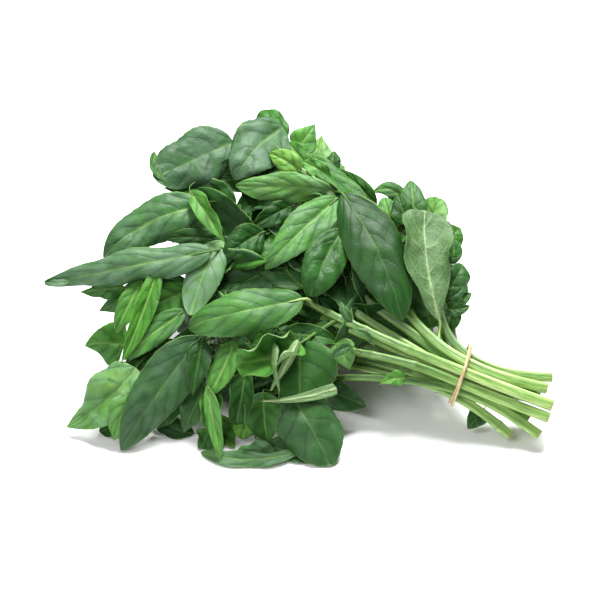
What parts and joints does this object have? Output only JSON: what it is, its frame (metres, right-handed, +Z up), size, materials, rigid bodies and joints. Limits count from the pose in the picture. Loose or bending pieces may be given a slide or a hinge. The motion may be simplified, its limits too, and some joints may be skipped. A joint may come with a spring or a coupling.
{
  "type": "basil bunch",
  "caption": "Bunch of cut leafy basil stems lying on a surface, their bare stems gathered by a doubled rubber band and their leaves in a heap",
  "frame": {"origin": "the centre of the bunch's outline on the surface that it lies on", "axes": "+Z is up from the surface; +X runs along the bunch towards the cut ends of the stems; -Y is the side with the front of the heap of leaves"},
  "size_m": [0.2565, 0.1744, 0.1155],
  "materials": {
    "basil_leaf": "fresh green leaf and stem, softly glossy above and matt below",
    "band_rubber": "matt tan rubber"
  },
  "bodies": {
    "root": {"leafy_stem_back_tall": "basil_leaf", "leafy_stem_right_front": "basil_leaf", "leafy_stem_right_back": "basil_leaf", "leafy_stem_centre": "basil_leaf", "leafy_stem_left_upper": "basil_leaf", "leafy_stem_left_middle": "basil_leaf", "leafy_stem_left_low": "basil_leaf", "leafy_stem_front_low": "basil_leaf", "leafy_stem_front_middle": "basil_leaf", "leafy_stem_under": "basil_leaf", "leafy_stem_back_low": "basil_leaf", "leafy_stem_back_right": "basil_leaf", "rubber_band": "band_rubber"}
  },
  "joints": []
}
